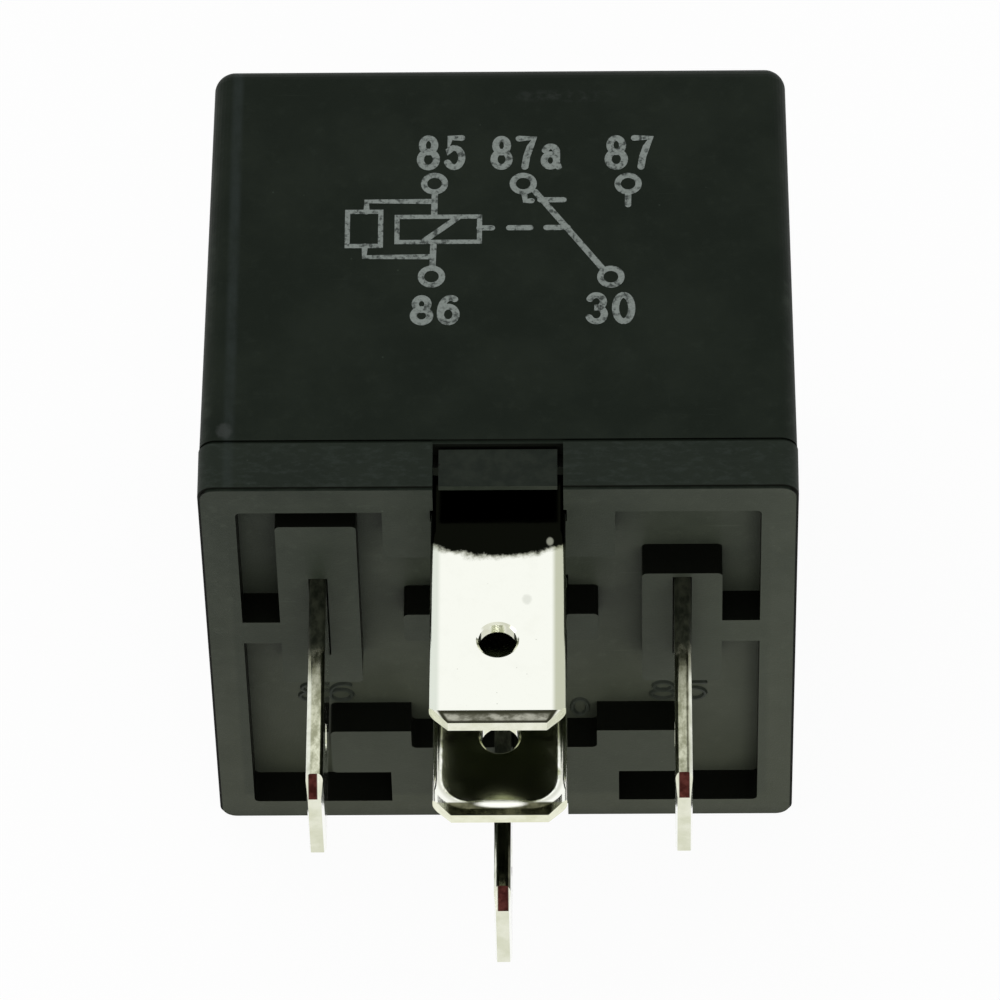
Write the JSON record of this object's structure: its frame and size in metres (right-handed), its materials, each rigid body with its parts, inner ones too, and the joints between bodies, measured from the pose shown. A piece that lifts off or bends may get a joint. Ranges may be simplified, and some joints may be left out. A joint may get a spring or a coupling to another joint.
{
  "type": "automotive relay",
  "caption": "Cube-shaped changeover relay: black moulded cover on a recessed base, push-on blades below, coil, yoke, hinged armature and contacts inside.",
  "frame": {"origin": "under the middle of the relay as it lies on its back, half way along its length over the blades", "axes": "+X to the right seen from the blades, +Y from the blades towards the top of the cover, +Z out of the marked face"},
  "size_m": [0.028, 0.037, 0.028],
  "materials": {
    "cover_plastic": "fine moulded texture, black",
    "base_plastic": "moulded, greyer black",
    "tinned_copper": "bright tin plate over copper alloy",
    "plated_iron": "zinc plated",
    "bobbin_plastic": "natural moulded nylon",
    "enamelled_copper": "enamelled wire, wound",
    "rivet_metal": "tinned",
    "leaf_copper": "rolled copper alloy sheet",
    "contact_silver": "silver alloy",
    "spring_steel": "drawn wire",
    "braid_copper": "bare braided copper",
    "resistor_coating": "lacquered ceramic"
  },
  "bodies": {
    "housing": {"cover": "cover_plastic", "base": "base_plastic", "terminal_87": "tinned_copper", "terminal_87a": "tinned_copper", "terminal_30": "tinned_copper", "terminal_85": "tinned_copper", "terminal_86": "tinned_copper", "yoke": "plated_iron", "core": "plated_iron", "bobbin": "bobbin_plastic", "coil_winding": "enamelled_copper", "yoke_rivet": "rivet_metal", "fixed_contact_87": "contact_silver", "fixed_contact_87a": "contact_silver", "return_spring": "spring_steel", "copper_braid": "braid_copper", "resistor_body": "resistor_coating", "resistor_leads": "rivet_metal"},
    "armature": {"armature": "plated_iron", "armature_rivets": "rivet_metal", "contact_leaf": "leaf_copper", "moving_contact": "contact_silver"}
  },
  "joints": [
    {"name": "armature_pivot", "type": "hinge", "parent": "housing", "child": "armature", "pos_m": [0, 0.0112, 0.00452], "axis": [1, 0, 0], "range_deg": [0, 2.5], "stiffness_Nm_per_rad": 0.02, "springref_deg": -17.19, "deforming": ["return_spring", "copper_braid"]}
  ]
}
